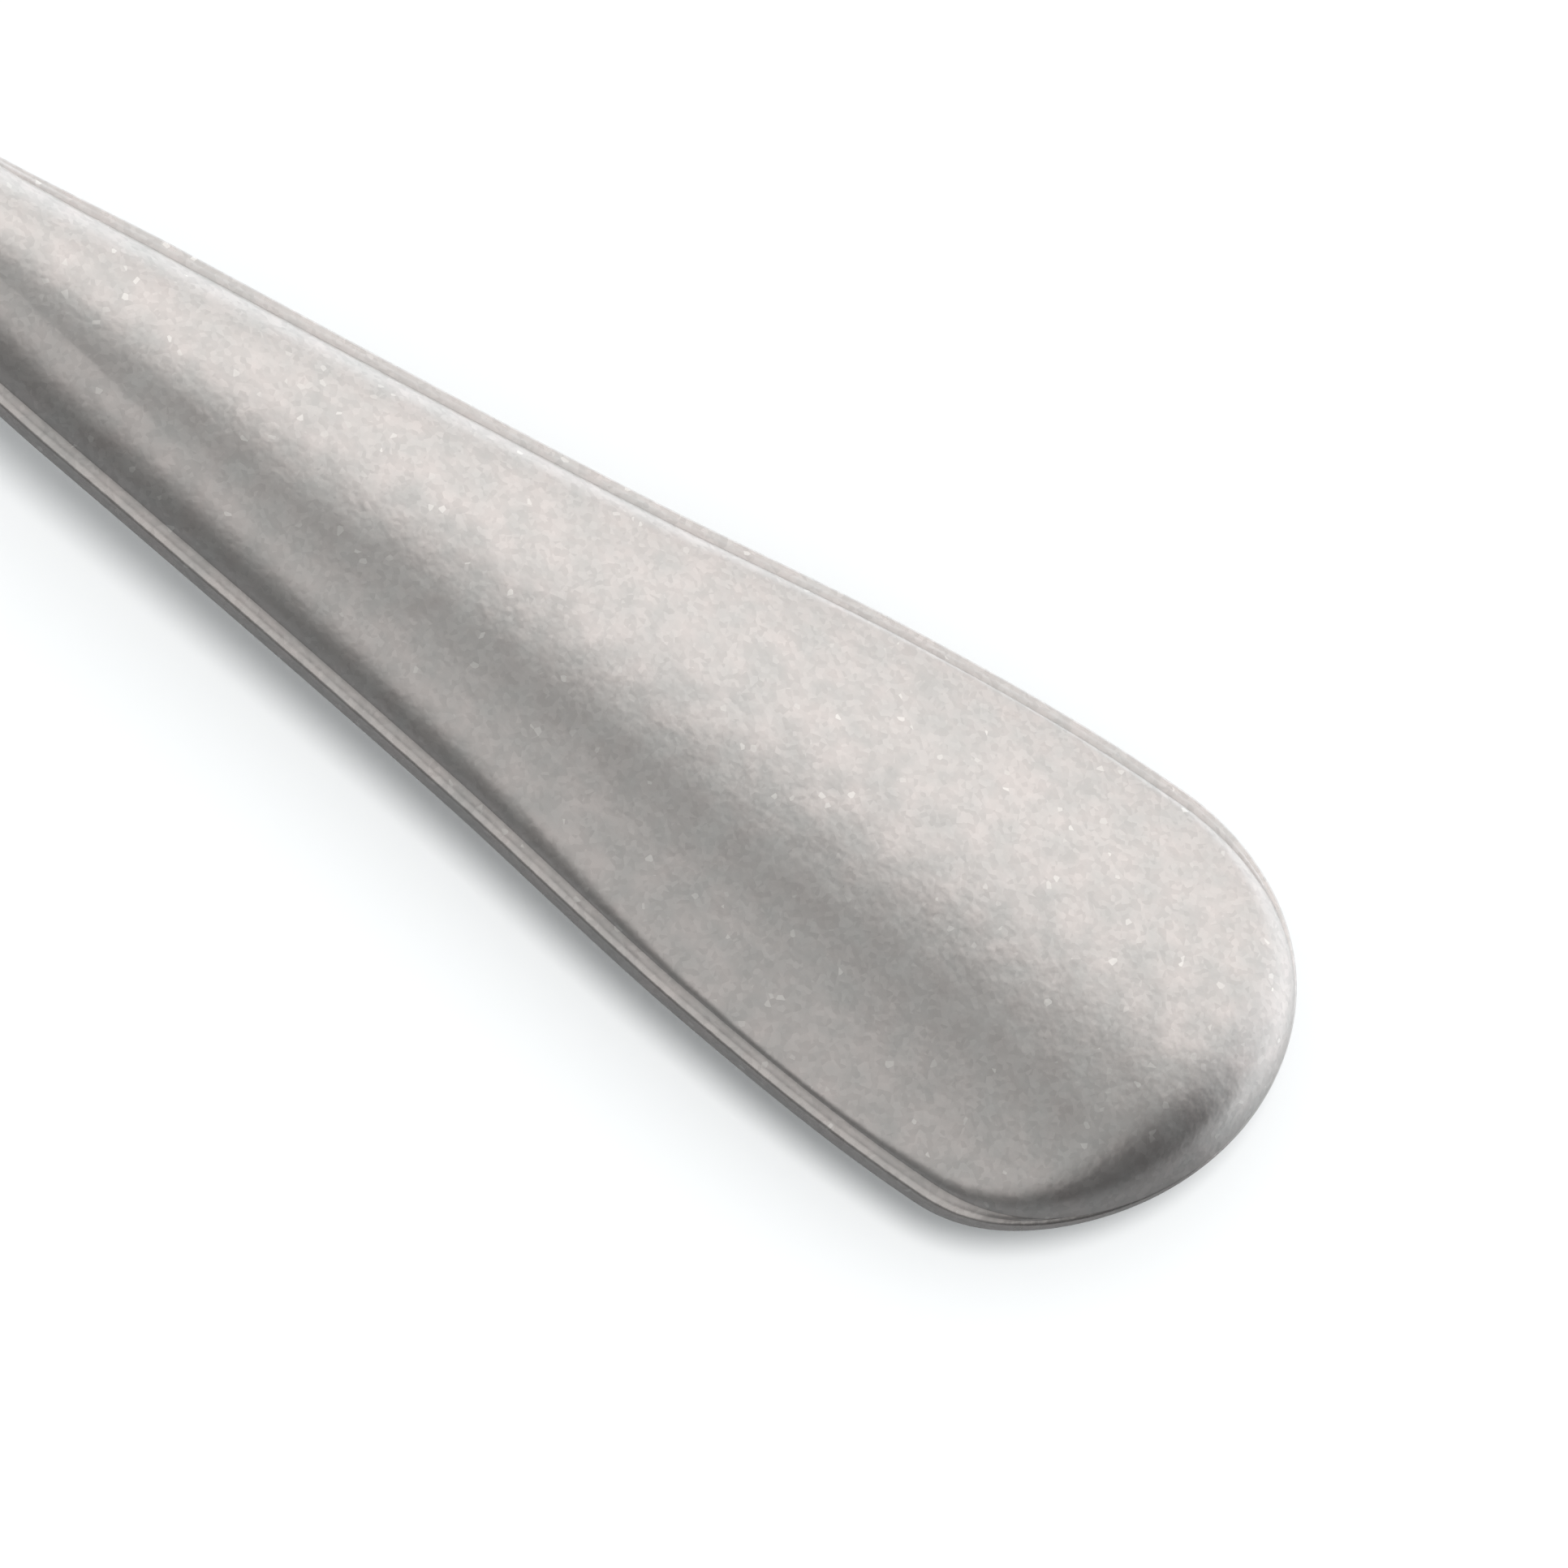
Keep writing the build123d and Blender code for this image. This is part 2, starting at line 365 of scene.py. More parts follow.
def tint(steel, *shares):
    """A steel colour with each channel multiplied by its share, or all three by one."""
    shares = shares * 3 if len(shares) == 1 else shares
    return [channel * share for channel, share in zip(steel[:3], shares)] + [1.0]


def start_material(name):
    """An empty node material: itself, its node tree and the piece's own coordinates."""
    material = bpy.data.materials.new(name)
    material.use_nodes = True
    material.node_tree.nodes.clear()
    place = add_node(material.node_tree, "TexCoord").outputs["Object"]
    return material, material.node_tree, place


def pattern(tree, place, feature, detail=2.0, stretch=(1, 1, 1), start=0.3, end=0.7):
    """A value that wanders from 0 to 1 in spots as large as a feature, pulled out along the axes."""
    scale = [1 / (feature * pull) for pull in stretch]
    drawn = add_node(tree, "Mapping", {"Vector": place, "Scale": scale})
    noise = add_node(tree, "TexNoise", {"Vector": drawn, "Scale": 1.0, "Detail": detail})
    return add_node(tree, "MapRange", {"Value": noise, "From Min": start, "From Max": end})


def finish_metal(material, tree, metal, rough, heights):
    """Gives a metal its colour, roughness and relief: pairs of a pattern and its depth, finest first."""
    normal = None
    for height, depth in heights:
        inputs = {"Height": height, "Distance": depth}
        if normal:
            inputs["Normal"] = normal
        normal = add_node(tree, "Bump", inputs)
    shader = add_node(
        tree, "BsdfPrincipled",
        {"Base Color": metal, "Metallic": 1.0, "Roughness": rough, "Normal": normal},
    )
    add_node(tree, "OutputMaterial", {"Surface": shader})
    return material


def blasted_steel(name, steel):
    """Stainless steel, forged, bead-blasted and lightly tumbled.

    The beads leave overlapping dents 0.1 to 0.2 mm across, so the metal shines softly, with a fine mottle.
    A few bright specks are painted into the colour as glints, standing in for dents that face the light.
    Tumbling leaves waves 2 mm wide and polishes the edges.
    The crease is painted darker, as grime together with painted shade.
    """
    material, tree, place = start_material(name)
    facet_size, dent_size, cloud_size, wave_size = 0.1 * MM, 0.16 * MM, 0.6 * MM, 2.2 * MM
    glint_share, glint_strength = 0.012, 0.55
    dirt_and_shade_strength, polish_gain = 0.25, 0.08
    cells = add_node(tree, "TexVoronoi", {"Vector": place, "Scale": 1 / facet_size})
    facets = add_node(tree, "SeparateColor", {"Color": cells.outputs["Color"]})
    dents = pattern(tree, place, feature=dent_size, detail=1.0)
    clouds = pattern(tree, place, feature=cloud_size)
    waves = pattern(tree, place, feature=wave_size)
    # Painted glints: a few random facets are mixed towards near-white #FFFDFA in the colour, standing in for
    # highlights
    painted_glints = add_node(
        tree, "MapRange",
        {"Value": facets.outputs["Green"], "From Min": 1 - glint_share, "To Max": glint_strength},
    )
    wear = add_node(tree, "Attribute", attribute_name="wear").outputs["Fac"]
    dirt = add_node(tree, "Attribute", attribute_name="dirt").outputs["Fac"]
    warm, cool = tint(steel, 1.02, 1, 0.99), tint(steel, 0.94, 0.96, 0.955)
    metal = add_node(tree, "Mix", {0: clouds, 6: cool, 7: warm}, data_type="RGBA")
    shade = add_node(tree, "MapRange", {"Value": facets.outputs["Red"], "To Min": 0.87})
    metal = add_node(
        tree, "Mix", {0: 1.0, 6: metal, 7: shade}, data_type="RGBA", blend_type="MULTIPLY"
    )
    metal = add_node(tree, "Mix", {0: painted_glints, 6: metal, 7: linear("#FFFDFA")}, data_type="RGBA")
    # Painted shade with grime: the crease rails are mixed towards dark grey-brown #4A4541
    dirt_and_shade_share = add_node(tree, "Math", {0: dirt, 1: dirt_and_shade_strength}, operation="MULTIPLY")
    metal = add_node(tree, "Mix", {0: dirt_and_shade_share, 6: metal, 7: linear("#4A4541")}, data_type="RGBA")
    rough = add_node(tree, "MapRange", {"Value": clouds, "To Min": 0.4, "To Max": 0.32})
    polish = add_node(tree, "Math", {0: wear, 1: polish_gain}, operation="MULTIPLY")
    rough = add_node(tree, "Math", {0: rough, 1: polish}, operation="SUBTRACT")
    relief = [(dents, 0.002 * MM), (clouds, 0.0025 * MM), (waves, 0.02 * MM)]
    return finish_metal(material, tree, metal, rough, relief)


def brushed_steel(name, steel):
    """Stainless bar, ground flat and brushed lengthwise with a fine belt.

    The scratches are long and about 0.05 mm wide, drawn 0.1 mm wide so that they show, and they smear each
    highlight across the flats. Handling leaves the corners brighter.
    """
    material, tree, place = start_material(name)
    scratches = pattern(tree, place, feature=0.1 * MM, detail=3.0, stretch=(60, 1, 1))
    bands = pattern(tree, place, feature=0.5 * MM, stretch=(30, 1, 1))
    smudges = pattern(tree, place, feature=5 * MM, detail=3.0)
    wear = add_node(tree, "Attribute", attribute_name="wear").outputs["Fac"]
    dull, streaked = tint(steel, 0.78), tint(steel, 0.9)
    wear_strength, smudge_haze = 0.5, 0.06
    metal = add_node(tree, "Mix", {0: bands, 6: streaked, 7: list(steel)}, data_type="RGBA")
    metal = add_node(tree, "Mix", {0: scratches, 6: dull, 7: metal}, data_type="RGBA")
    worn = add_node(tree, "Math", {0: wear, 1: wear_strength}, operation="MULTIPLY")
    metal = add_node(tree, "Mix", {0: worn, 6: metal, 7: linear("#E2DFDB")}, data_type="RGBA")
    rough = add_node(tree, "MapRange", {"Value": scratches, "To Min": 0.34, "To Max": 0.24})
    haze = add_node(tree, "Math", {0: smudges, 1: smudge_haze}, operation="MULTIPLY")
    rough = add_node(tree, "Math", {0: rough, 1: haze}, operation="ADD")
    return finish_metal(material, tree, metal, rough, [(scratches, 0.003 * MM)])


def turned_steel(name, steel):
    """Stainless steel, turned with a fine feed.

    The tool leaves rings about 0.04 mm apart, drawn 0.12 mm apart so that they show, which run round the
    ferrule and draw its highlights into lines. The groove is painted darker, as grime together with painted
    shade.
    """
    material, tree, place = start_material(name)
    rings = pattern(tree, place, feature=0.12 * MM, stretch=(1, 400, 400))
    haze = pattern(tree, place, feature=1.6 * MM, detail=3.0)
    dirt = add_node(tree, "Attribute", attribute_name="dirt").outputs["Fac"]
    metal = add_node(tree, "Mix", {0: rings, 6: tint(steel, 0.82), 7: list(steel)}, data_type="RGBA")
    # Painted shade with grime in the groove, towards dark #3E3A37
    metal = add_node(tree, "Mix", {0: dirt, 6: metal, 7: linear("#3E3A37")}, data_type="RGBA")
    rough = add_node(tree, "MapRange", {"Value": haze, "To Min": 0.22, "To Max": 0.3})
    return finish_metal(material, tree, metal, rough, [(rings, 0.0025 * MM)])


def ground_pin_steel(name, steel):
    """Hardened pin steel, ground flush with the barrel.

    A fine wheel leaves straight hair lines about 0.03 mm apart, drawn 0.08 mm apart so that they show, on a
    slightly darker and smoother metal than the ferrule's.
    """
    material, tree, place = start_material(name)
    lines = pattern(tree, place, feature=0.08 * MM, stretch=(1, 1, 20))
    stain = pattern(tree, place, feature=0.6 * MM)
    metal = add_node(tree, "Mix", {0: lines, 6: tint(steel, 0.8), 7: list(steel)}, data_type="RGBA")
    rough = add_node(tree, "MapRange", {"Value": stain, "To Min": 0.18, "To Max": 0.3})
    return finish_metal(material, tree, metal, rough, [(lines, 0.002 * MM)])


def moulded_rubber(name, rubber):
    """Moulded nitrile rubber, matt dark grey.

    The mould was spark-eroded, which leaves grains about 0.08 mm across. Skin dust lightens the rings in
    patches.
    """
    material, tree, place = start_material(name)
    grains = pattern(tree, place, feature=0.08 * MM)
    dust = pattern(tree, place, feature=1.2 * MM, detail=4.0, start=0.45, end=0.7)
    dust_strength = 0.22
    thin = add_node(tree, "Math", {0: dust, 1: dust_strength}, operation="MULTIPLY")
    dusty = add_node(tree, "Mix", {0: thin, 6: list(rubber), 7: linear("#8C8985")}, data_type="RGBA")
    rough = add_node(tree, "MapRange", {"Value": dust, "To Min": 0.5, "To Max": 0.66})
    relief = add_node(tree, "Bump", {"Height": grains, "Distance": 0.008 * MM})
    shader = add_node(
        tree, "BsdfPrincipled", {"Base Color": dusty, "Roughness": rough, "Normal": relief}
    )
    add_node(tree, "OutputMaterial", {"Surface": shader})
    return material


# ---------------- paddle end
# Steps of the half section, from the ridge round the flank to the middle below
CROWN_STEPS = 18
ROLL_STEPS = 10
WALL_STEPS = 2
LAND_STEPS = 4
ROUND_STEPS = 4
UNDER_STEPS = 18
CREASE = CROWN_STEPS + ROLL_STEPS + WALL_STEPS
FLANGE_TOP = CREASE + LAND_STEPS
FLANGE_BOTTOM = FLANGE_TOP + 2 * ROUND_STEPS + 1
WALL_SHARE = 0.96  # share of the wall that the roll-off takes up
ROLL_SHARE = 1.15  # reach of the roll-off along the crown, as a share of the wall
ROLL_LIMIT = 0.6  # and at most this share of the way from the ridge
LAND_POWER = 1.5  # power by which the land falls towards its edge
CROWN_GROWTH = 1.3  # power by which the crown flattens out from the neck to the end
SPINE_END = 16 * MM  # where the round shank has run out under the paddle
SPINE_HALF_WIDTH = 0.75 * MM
SPINE_BLEND = 0.15 * MM
HOLLOW_BLEND = 0.05 * MM
HOLLOW_MIDDLE = 11 * MM  # from the paddle's end
HOLLOW_HALF_LENGTH = 8 * MM
HOLLOW_R = 12 * MM
SKEW_PIVOT = 1.2 * MM  # distance across the paddle at which the slant leaves its end where it is
SKEW_RUN = 5.2 * MM  # length over which the slant sets in
DIRT_AND_SHADE_RAILS = 3  # rails either side of the crease that get grime and painted shade
END_STEPS = 72
FLANK_CUTS = 70
NECK_CUTS = 45
NOSE_CUTS = 6
SHANK_CUTS = 8


def flank_half_width(x):
    """Half the paddle's width at x from the neck."""
    last = len(FLANK) - 2
    i = min(last, max(0, sum(x > place for place, _ in FLANK) - 1))
    (x0, y0), (x1, y1) = FLANK[i : i + 2]
    span = x1 - x0

    def slope(k):
        if k in (0, len(FLANK) - 1):
            return 0.0
        return (FLANK[k + 1][1] - FLANK[k - 1][1]) / (FLANK[k + 1][0] - FLANK[k - 1][0])

    t = min(max((x - x0) / span, 0.0), 1.0)
    start = (1 + 2 * t) * (1 - t) ** 2 * y0 + t * (1 - t) ** 2 * span * slope(i)
    return start + t * t * (3 - 2 * t) * y1 + t * t * (t - 1) * span * slope(i + 1)


def crown_height(tip, x, y):
    """Height of the crown above the middle of the flange."""
    radius = mix(tip.crown_neck_r, tip.crown_end_r, (max(x, 0) / tip.paddle_length) ** CROWN_GROWTH)
    return tip.crown_top - radius + sqrt(radius * radius - y * y)


def under_height(tip, x, y):
    """Height of the underside: the flange, the hollow in it and the end of the round shank below it."""
    height = -tip.flange / 2
    from_middle = x - (tip.paddle_length - HOLLOW_MIDDLE)
    arch_r = (HOLLOW_HALF_LENGTH**2 + tip.hollow**2) / (2 * tip.hollow)
    rise = sqrt(max(arch_r**2 - from_middle**2, 0)) - arch_r + tip.hollow
    hollow = sqrt(max((HOLLOW_R + height + rise) ** 2 - y * y, 0)) - HOLLOW_R
    height = -soft_min(-height, -hollow, HOLLOW_BLEND)
    run_out = 1 - max(x, 0) / SPINE_END
    if run_out > 0:
        half_width = mix(SPINE_HALF_WIDTH, tip.shank_r, run_out)
        spine = -tip.shank_r * run_out * sqrt(max(0, 1 - (y / half_width) ** 2))
        height = soft_min(height, spine, SPINE_BLEND)
    return height


def half_section(tip, centre_x, heading, reach, round_end):
    """The paddle's section from its ridge out to the flange: (distance from the ridge, height) for each rail.

    round_end is 0 along the flanks and 1 at the very end, where the flange is thinner and narrower.
    """
    land = mix(tip.land, tip.end_land, round_end)
    half = mix(tip.flange, tip.end_flange, round_end) / 2
    lift = tip.flange / 2 - half

    def crown(distance):
        return crown_height(tip, centre_x + distance * heading[0], distance * heading[1])

    def under(share):
        out = inner * share
        return under_height(tip, centre_x + out * heading[0], out * heading[1]) + lift * share * share

    foot = reach - land
    rise = 1 / tan(tip.wall_lean)
    crown_end, beyond = 0.0, foot
    while beyond - crown_end > CORNER_TOLERANCE:
        middle = (crown_end + beyond) / 2
        if crown(middle) > half + (foot - middle) * rise:
            beyond = middle
        else:
            crown_end = middle
    corner = Vector((crown_end, crown(crown_end)))
    wall = Vector((foot, half)) - corner
    roll = min(wall.length * ROLL_SHARE, ROLL_LIMIT * crown_end)
    start = Vector((crown_end - roll, crown(crown_end - roll)))
    end = corner + wall * WALL_SHARE
    places = [(out, crown(out)) for out in steps_between(0, start.x, CROWN_STEPS)]
    for i in range(ROLL_STEPS):
        t = i / ROLL_STEPS
        places.append(tuple(start * (1 - t) ** 2 + corner * 2 * t * (1 - t) + end * t * t))
    places += zip(steps_between(end.x, foot, WALL_STEPS), steps_between(end.y, half, WALL_STEPS))
    inner = reach - tip.flange_round
    fall = tip.land_fall * land / tip.land
    for i in range(LAND_STEPS):
        places.append((mix(foot, inner, i / LAND_STEPS), half - fall * (i / LAND_STEPS) ** LAND_POWER))
    places += arc((inner, half - fall - tip.flange_round), tip.flange_round, 90, 0, ROUND_STEPS)
    places += arc((inner, tip.flange_round - half), tip.flange_round, 0, -90, ROUND_STEPS)[:-1]
    for i in range(UNDER_STEPS + 1):
        share = 1 - i / UNDER_STEPS
        places.append((inner * share, under(share)))
    return places


def near(a, b):
    """Whether two lengths agree to a thousandth of a millimetre."""
    return abs(a - b) < 0.001 * MM


def draw_back(piece, start, length, cuts):
    """Draws the open ring of edges at start back along X, and cuts the new faces across."""

    def in_ring(edge):
        return edge.is_boundary and all(near(vertex.co.x, start) for vertex in edge.verts)

    def along(edge):
        back, front = sorted(vertex.co.x for vertex in edge.verts)
        return near(back, start - length) and near(front, start)

    pick(piece, "edges", in_ring)
    bpy.ops.mesh.extrude_edges_move(TRANSFORM_OT_translate={"value": (-length, 0, 0)})
    if cuts:
        pick(piece, "edges", along)
        bpy.ops.mesh.subdivide(number_cuts=cuts)


def bent(tip, x, y, z):
    """A place on the straight paddle carried onto the bent one, in the frame."""
    slope = tip.paddle_length * sin(tip.lean) / (tip.paddle_length - tip.bend / 2)
    along = min(max(x, 0), tip.bend)
    fall = slope * (along * along / (2 * tip.bend) + max(x - tip.bend, 0))
    tilt = atan(slope * along / tip.bend)
    neck = TIP_HIGH.x - tip.paddle_length * cos(tip.lean) - tip.flange / 2 * sin(tip.lean)
    forward = x * cos(tip.lean) if x > 0 else x
    return Vector((neck + forward + z * sin(tilt), y, AXIS_Z - fall + z * cos(tilt)))


def shape_tip(piece, tip):
    """Moves the vertices of the blank onto the paddle's sections, by the rail that each one lies on."""
    end_centre = tip.paddle_length - tip.end_round
    shank_start = min(vertex.co.x for vertex in piece.data.vertices)
    rails = [round(item.value) for item in piece.data.attributes["rail"].data]
    sections = {}
    places = []
    wear = []
    dirt = []
    for vertex, rail in zip(piece.data.vertices, rails):
        x, y, _ = vertex.co
        swing = 0 if near(x, end_centre) or x < end_centre else atan2(x - end_centre, abs(y))
        key = (end_centre if swing else round(x / MM, 3), round(degrees(swing), 2))
        if key not in sections:
            centre_x = end_centre if swing else max(x, 0)
            out = (tip.end_round * sin(swing), flank_half_width(centre_x) * cos(swing))
            reach = hypot(*out)
            heading = (out[0] / reach, out[1] / reach)
            sections[key] = (centre_x, heading, half_section(tip, centre_x, heading, reach, ease(sin(swing))))
        centre_x, heading, section = sections[key]
        distance, height = section[rail]
        grown = 1.0 if swing else ease(x / tip.neck_run)
        radius = tip.shank_r - tip.shank_chamfer * near(x, shank_start)
        level = hypot(distance, height)
        distance = mix(radius * distance / level, distance, grown)
        height = mix(radius * height / level, height, grown)
        along = min(x, end_centre) + distance * heading[0]
        across = distance * heading[1] * (-1 if y < 0 else 1)
        slant = ease(1 - (tip.paddle_length - along) / SKEW_RUN)
        along += tan(tip.end_skew) * (across - SKEW_PIVOT) * slant
        places.append(bent(tip, along, across, height))
        # Grime and painted shade, strongest on the crease rail and fading over the rails beside it
        dirt.append(grown * max(0, 1 - abs(rail - CREASE) / DIRT_AND_SHADE_RAILS))
        wear.append(grown if FLANGE_TOP <= rail <= FLANGE_BOTTOM else 0.0)
    for vertex, place in zip(piece.data.vertices, places):
        vertex.co = place
    paint(piece, "wear", wear)
    paint(piece, "dirt", dirt)


def cross_rod(side, radius, length):
    """A round rod that lies across the tool where the pin goes."""
    deselect()
    bpy.ops.mesh.primitive_cylinder_add(
        vertices=PIN_SIDES,
        radius=radius,
        depth=length,
        location=(side * PIN_X, 0, AXIS_Z),
        rotation=(pi / 2, 0, 0),
    )
    return bpy.context.object


def drill(piece, side, radius):
    """Drills the cross pin's hole through a piece."""
    bit = cross_rod(side, radius, 4 * FERRULE_HIGH.y)
    apply_modifier(piece, "BOOLEAN", object=bit, operation="DIFFERENCE", solver="EXACT")
    bpy.data.objects.remove(bit)


class SPATULA_OT_tip(bpy.types.Operator):
    """Models the crowned paddle on its round shank"""

    bl_idname = "mesh.spatula_tip_add"
    bl_label = "Paddle end"

    def execute(self, context):
        tip = context.scene.spatula_tip
        end_centre = tip.paddle_length - tip.end_round
        half = half_section(tip, end_centre, heading=(0, 1), reach=TIP_HIGH.y, round_end=0)
        outline = [Vector((end_centre, distance, height)) for distance, height in half]
        outline[0].y = outline[-1].y = 0
        piece = draw_line("paddle_tip", outline)
        bpy.ops.object.mode_set(mode="OBJECT")
        rails = range(len(outline))
        drawn = piece.data.vertices
        paint(piece, "rail", [min(rails, key=lambda k: (outline[k] - vertex.co).length) for vertex in drawn])
        edit(piece)
        bpy.ops.mesh.spin(steps=END_STEPS, angle=pi, center=(end_centre, 0, 0), axis=(0, 0, 1))
        close_up(piece)
        edit(piece)
        # Back along the flanks, through the neck and down the shank, with a cut inside the ferrule's nose
        neck = bent(tip, 0, 0, 0).x
        shank = neck - SHANK_X
        inside = neck - INSIDE_NOSE_X
        draw_back(piece, end_centre, end_centre - tip.neck_run, FLANK_CUTS)
        draw_back(piece, tip.neck_run, tip.neck_run, NECK_CUTS)
        draw_back(piece, 0, inside, NOSE_CUTS)
        draw_back(piece, -inside, shank - inside - tip.shank_chamfer, SHANK_CUTS)
        draw_back(piece, tip.shank_chamfer - shank, tip.shank_chamfer, 0)
        bpy.ops.mesh.edge_face_add()
        bpy.ops.object.mode_set(mode="OBJECT")
        shape_tip(piece, tip)
        close_up(piece)
        drill(piece, 1, PIN_R)
        shade(piece, limit=40)
        stand_in(piece, "spatula_tip", blasted_steel("blasted_tip_steel", tip.steel))
        return {"FINISHED"}


class SPATULA_OT_cone(bpy.types.Operator):
    """Models the stump-shaped cone on its round shank"""

    bl_idname = "mesh.spatula_cone_add"
    bl_label = "Cone end"

    def execute(self, context):
        cone, tip = context.scene.spatula_cone, context.scene.spatula_tip
        cone_x = HALF_LENGTH - cone.cone_length
        swell_x = cone_x - cone.swell
        point_x = HALF_LENGTH - cone.point_r
        polished = 2 * MM
        outline = [
            (SHANK_X, 0),
            (SHANK_X, tip.shank_r - tip.shank_chamfer),
            (SHANK_X + tip.shank_chamfer, tip.shank_r),
            (INSIDE_NOSE_X, tip.shank_r),
        ]
        for share in steps_between(0, 1, count=24):
            outline.append((mix(swell_x, cone_x, share), mix(tip.shank_r, cone.cone_r, ease(share))))
        outline += tangent_arc((cone_x, cone.cone_r), -cone.side_slope, (point_x, cone.point_r), steps=40)
        outline += arc((point_x, 0), cone.point_r, 90, 0, steps=10)[1:]
        piece = turn("cone_tip_end", outline, -1, steps=96)
        drill(piece, -1, PIN_R)
        distances = [-vertex.co.x for vertex in piece.data.vertices]
        paint(piece, "wear", [ease((x - point_x + polished) / polished) for x in distances])
        paint(piece, "dirt", [0.0] * len(distances))
        shade(piece, limit=40)
        stand_in(piece, "cone_tip", blasted_steel("blasted_cone_steel", tip.steel))
        return {"FINISHED"}


# ---------------- handle
def octagon_radius(handle, turn_angle):
    """Radius of the round-cornered octagon at an angle round the axis."""
    half_step = OCTAGON_STEP / 2
    off_flat = abs((turn_angle + half_step) % (2 * half_step) - half_step)
    flat_half = (HANDLE_HIGH.y - handle.corner_round) * tan(half_step)
    if tan(off_flat) * HANDLE_HIGH.y <= flat_half:
        return HANDLE_HIGH.y / cos(off_flat)
    corner = (HANDLE_HIGH.y - handle.corner_round) / cos(half_step)
    off_corner = half_step - off_flat
    return corner * cos(off_corner) + sqrt(handle.corner_round**2 - (corner * sin(off_corner)) ** 2)


def ring_x(name):
    """Where the middle of a grip ring lies along the tool."""
    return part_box(name)[0].x + RING_WIRE_R


class SPATULA_OT_handle(bpy.types.Operator):
    """Turns the handle's blank, then mills the eight flats"""

    bl_idname = "mesh.spatula_handle_add"
    bl_label = "Handle"

    def execute(self, context):
        handle = context.scene.spatula_handle
        end = HANDLE_HIGH.x
        corner_r = HANDLE_HIGH.y / cos(OCTAGON_STEP / 2)
        blank_r = corner_r + 0.1 * MM
        milling_blend = 0.06 * MM
        worn_width = 0.24 * MM
        worn_depth = 0.05 * MM
        taper = (blank_r - handle.end_r) / handle.end_slope
        rise = handle.shoulder * (blank_r - handle.grip_r) / (corner_r - handle.grip_r)
        zone = (handle.grip_centre - handle.grip_length / 2, handle.grip_centre + handle.grip_length / 2)

        def slope(start, stop, start_r, stop_r):
            return list(zip(steps_between(start, stop, count=16), steps_between(start_r, stop_r, count=16)))

        # Half of the blank's outline, from the middle of the tool to its end
        half = [(x, blank_r) for x in steps_between(0, zone[0] - rise, count=4)]
        half += slope(zone[0] - rise, zone[0], blank_r, handle.grip_r)
        half.append((zone[0], handle.grip_r))
        lip = degrees(asin((handle.grip_r - RING_SEAT_R) / RING_WIRE_R))
        for name in RINGS:
            if name.startswith("front"):
                half += arc((ring_x(name), RING_SEAT_R), RING_WIRE_R, 180 - lip, 360 + lip, steps=14)
        half.append((zone[1], handle.grip_r))
        half += slope(zone[1], zone[1] + rise, handle.grip_r, blank_r)[1:]
        half.append((zone[1] + rise, blank_r))
        half += slope(end - taper, end, blank_r, handle.end_r)
        half += [(end, handle.end_r), (end, handle.bore_r)]
        outline = [(-x, r) for x, r in reversed(half)] + half[1:]
        piece = turn("octagonal_handle", outline, 1, steps=240, closed=True)
        wear = []
        for vertex in piece.data.vertices:
            y, z = vertex.co.y, vertex.co.z - AXIS_Z
            turned_r = hypot(y, z)
            flat_r = octagon_radius(handle, atan2(z, y))
            milled_r = turned_r
            if turned_r > handle.grip_r - SLACK:
                milled_r = soft_min(turned_r, flat_r, milling_blend)
            vertex.co.y *= milled_r / turned_r
            vertex.co.z = AXIS_Z + z * milled_r / turned_r
            to_corner = (flat_r - HANDLE_HIGH.y) / worn_width
            wear.append(ease(to_corner) if milled_r > flat_r - worn_depth else 0.0)
        paint(piece, "wear", wear)
        shade(piece, limit=30)
        stand_in(piece, "handle", brushed_steel("brushed_handle_steel", handle.steel))
        return {"FINISHED"}


class SPATULA_OT_rings(bpy.types.Operator):
    """Models one rubber grip ring and copies it to every seat"""

    bl_idname = "mesh.spatula_rings_add"
    bl_label = "Grip rings"

    def execute(self, context):
        rubber = moulded_rubber("moulded_ring_rubber", context.scene.spatula_handle.rubber)
        first_x = ring_x(RINGS[0])
        # A round section with the thin flash that the mould's two halves leave round its widest place
        section_steps = 32
        flash = 0.02 * MM
        section = arc((first_x, RING_SEAT_R), RING_WIRE_R, 0, 360, section_steps)[:-1]
        for k, (x, r) in enumerate(section):
            if r > RING_SEAT_R and k != section_steps // 4:
                section[k] = (x, r - flash)
        model = turn("ring_model", section, 1, steps=96, closed=True)
        shade(model, limit=50)
        for node in RINGS:
            select(model)
            bpy.ops.object.duplicate(linked=False)
            ring = bpy.context.object
            ring.name = "rubber_" + node
            edit(ring)
            bpy.ops.transform.translate(value=(ring_x(node) - first_x, 0, 0))
            bpy.ops.object.mode_set(mode="OBJECT")
            stand_in(ring, node, rubber)
        bpy.data.objects.remove(model)
        return {"FINISHED"}


